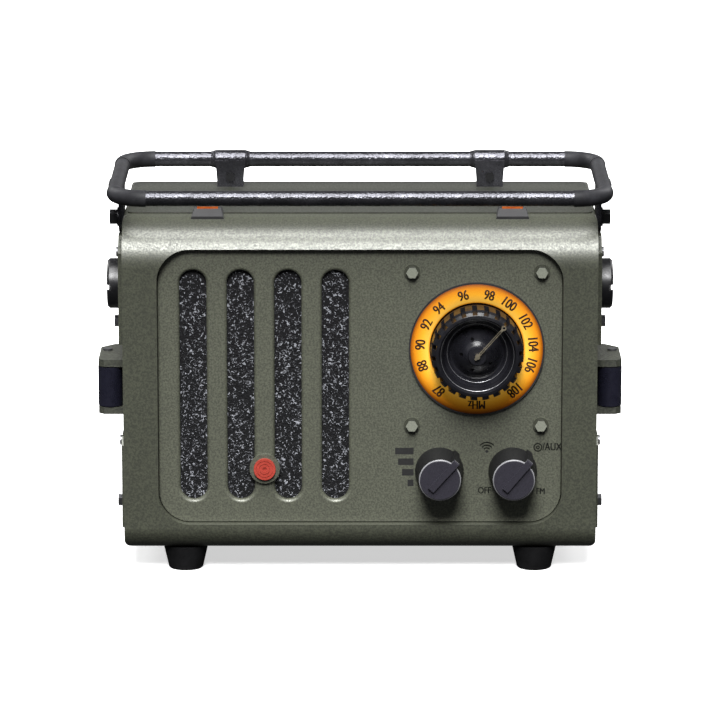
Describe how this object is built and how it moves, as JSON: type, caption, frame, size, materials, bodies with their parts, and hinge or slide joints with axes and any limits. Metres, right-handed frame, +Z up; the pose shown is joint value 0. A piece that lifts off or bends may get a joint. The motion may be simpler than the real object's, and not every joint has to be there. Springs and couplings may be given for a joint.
{
  "type": "portable radio receiver",
  "caption": "Portable radio in a die-cast case with a roof-rack carrying rail, slotted loudspeaker grille, wheel-shaped tuner in an amber dial, two pointer knobs and side draw latches.",
  "frame": {"origin": "bottom centre of the overall box, at floor level under the feet", "axes": "+Z up, front faces -Y, +X to the right as seen from the front"},
  "size_m": [0.2822, 0.1456, 0.21],
  "materials": {
    "case_paint": "fine sand-textured olive paint on a die-cast shell",
    "panel_paint": "fine sand-textured olive paint",
    "bracket_paint": "coarse rough olive paint on a casting",
    "bolt_paint": "olive painted steel, worn on the corners",
    "rack_paint": "black hammered powder coat",
    "black_metal": "black oxide",
    "dark_steel": "darkened steel",
    "steel": "plated steel",
    "brass": "satin brass",
    "rubber": "matt black rubber",
    "foam": "open-cell black foam",
    "paper": "black pulp cone",
    "knob_plastic": "matt black moulded plastic",
    "black_plastic": "matt black plastic",
    "black_gloss": "gloss black",
    "lever_black": "satin blue-black",
    "red_plastic": "satin red",
    "amber": "amber resin",
    "white_plastic": "milky diffuser",
    "board": "solder mask",
    "battery_wrap": "shrink sleeve"
  },
  "bodies": {
    "chassis": {"front_shell": "case_paint", "rear_shell": "case_paint", "case_gasket": "rubber", "top_plate": "case_paint", "front_panel": "panel_paint", "grille_foam": "foam", "button_boss": "panel_paint", "button_switch": "black_plastic", "dial_bezel": "black_plastic", "dial_scale": "amber", "light_ring": "white_plastic", "dial_backplate": "black_plastic", "dial_bolts": "bolt_paint", "tuner_bush": "brass", "capacitor_frame": "steel", "volume_control": "steel", "mode_switch": "black_plastic", "control_nuts": "steel", "speaker_baffle": "black_plastic", "speaker_basket": "black_metal", "speaker_cone": "paper", "speaker_screws": "steel", "main_board": "board", "board_parts": "black_plastic", "board_posts": "brass", "battery_pack": "battery_wrap", "battery_cover": "panel_paint", "cover_bolts": "black_metal", "socket_tray": "black_plastic", "aux_jack": "brass", "usb_socket": "steel", "feet": "rubber", "rack_rails": "rack_paint", "rack_sides": "rack_paint", "rack_clamps": "rack_paint", "rack_brackets": "rack_paint", "rack_bolts": "black_metal", "marker_housings": "black_plastic", "marker_lenses": "amber", "side_plates": "case_paint", "side_discs": "black_gloss", "side_bolts": "dark_steel", "latch_brackets": "bracket_paint", "latch_rivets": "dark_steel", "latch_keepers": "bracket_paint"},
    "button": {"red_button": "red_plastic"},
    "tuner": {"tuner_tyre": "black_gloss", "tuner_hub": "black_gloss", "tuner_needle": "brass", "tuner_shaft": "steel"},
    "capacitor": {"capacitor_rotor": "brass"},
    "volume": {"volume_knob": "knob_plastic", "volume_shaft": "steel"},
    "mode": {"mode_knob": "knob_plastic", "mode_shaft": "steel"},
    "flap": {"port_flap": "rubber"},
    "lever_left": {"latch_lever_left": "lever_black"},
    "lever_right": {"latch_lever_right": "lever_black"},
    "bail_left": {"latch_bail_left": "steel"},
    "bail_right": {"latch_bail_right": "steel"}
  },
  "joints": [
    {"name": "button_press", "type": "slide", "parent": "chassis", "child": "button", "axis": [0, 1, 0], "range_m": [0, 0.0012], "stiffness_N_per_m": 350, "springref_m": -0.0012},
    {"name": "tuner_turn", "type": "hinge", "parent": "chassis", "child": "tuner", "pos_m": [0.0615, -0.05015, 0.1217], "axis": [0, 1, 0], "range_deg": [-179.5, 96.5]},
    {"name": "capacitor_turn", "type": "hinge", "parent": "chassis", "child": "capacitor", "pos_m": [0.0615, -0.03665, 0.1037], "axis": [0, 1, 0], "range_deg": [-65, 121]},
    {"name": "volume_turn", "type": "hinge", "parent": "chassis", "child": "volume", "pos_m": [0.04205, -0.05015, 0.0554], "axis": [0, 1, 0], "range_deg": [-182, 98]},
    {"name": "mode_turn", "type": "hinge", "parent": "chassis", "child": "mode", "pos_m": [0.08095, -0.05015, 0.0554], "axis": [0, 1, 0], "range_deg": [-167, 87]},
    {"name": "flap_open", "type": "hinge", "parent": "chassis", "child": "flap", "pos_m": [0.07, 0.06775, 0.0606], "axis": [1, 0, 0], "range_deg": [0, 98]},
    {"name": "lever_left_open", "type": "hinge", "parent": "chassis", "child": "lever_left", "pos_m": [-0.1365, 0.01435, 0.0919], "axis": [0, 0, -1], "range_deg": [0, 100]},
    {"name": "lever_right_open", "type": "hinge", "parent": "chassis", "child": "lever_right", "pos_m": [0.1365, 0.01435, 0.0919], "axis": [0, 0, 1], "range_deg": [0, 100]},
    {"name": "bail_left_swing", "type": "hinge", "parent": "lever_left", "child": "bail_left", "pos_m": [-0.1365, 0.00435, 0.0919], "axis": [0, 0, -1], "range_deg": [-101, 1]},
    {"name": "bail_right_swing", "type": "hinge", "parent": "lever_right", "child": "bail_right", "pos_m": [0.1365, 0.00435, 0.0919], "axis": [0, 0, 1], "range_deg": [-101, 1]}
  ],
  "couplings": [
    {"joint": "capacitor_turn", "follows": "tuner_turn", "ratio": -0.66667},
    {"joint": "bail_left_swing", "follows": "lever_left_open", "ratio": -1},
    {"joint": "bail_right_swing", "follows": "lever_right_open", "ratio": -1}
  ]
}
